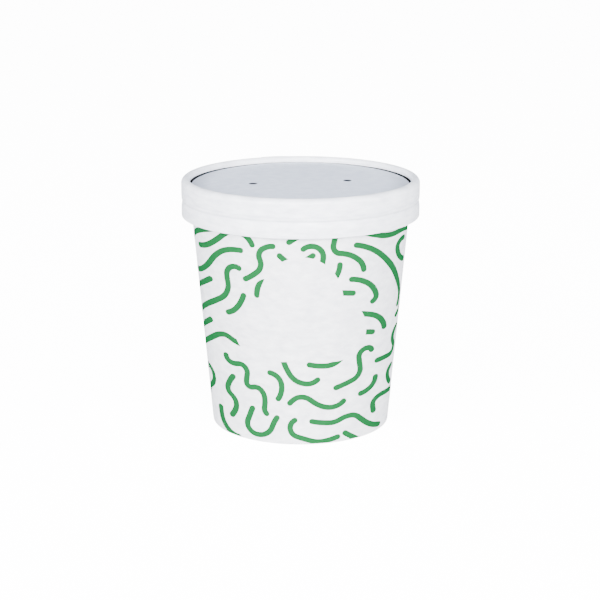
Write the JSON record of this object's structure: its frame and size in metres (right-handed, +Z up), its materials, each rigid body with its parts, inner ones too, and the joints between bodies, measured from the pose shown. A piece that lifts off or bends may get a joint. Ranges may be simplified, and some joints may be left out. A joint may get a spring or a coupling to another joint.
{
  "type": "paper soup container",
  "caption": "Round tapered white paper pot for soup, shut with a rimmed paper lid that has steam vents, with a green squiggle print.",
  "frame": {"origin": "middle of the foot, on the surface that the container stands on", "axes": "+Z up along the container's own axis; the front that the picture shows faces -Y; the line through the vents is turned 9.7 degrees from +X"},
  "size_m": [0.1, 0.1, 0.1057],
  "materials": {
    "cup_paper": "white matt board with a fine fibre grain, printed with green strokes",
    "base_paper": "plain white matt board",
    "lid_paper": "white matt board, rolled and creased",
    "disc_paper": "white matt board with a fine fibre grain"
  },
  "bodies": {
    "root": {"cup": "cup_paper", "cup_base": "base_paper", "lid_band": "lid_paper", "lid_disc": "disc_paper"}
  },
  "joints": []
}
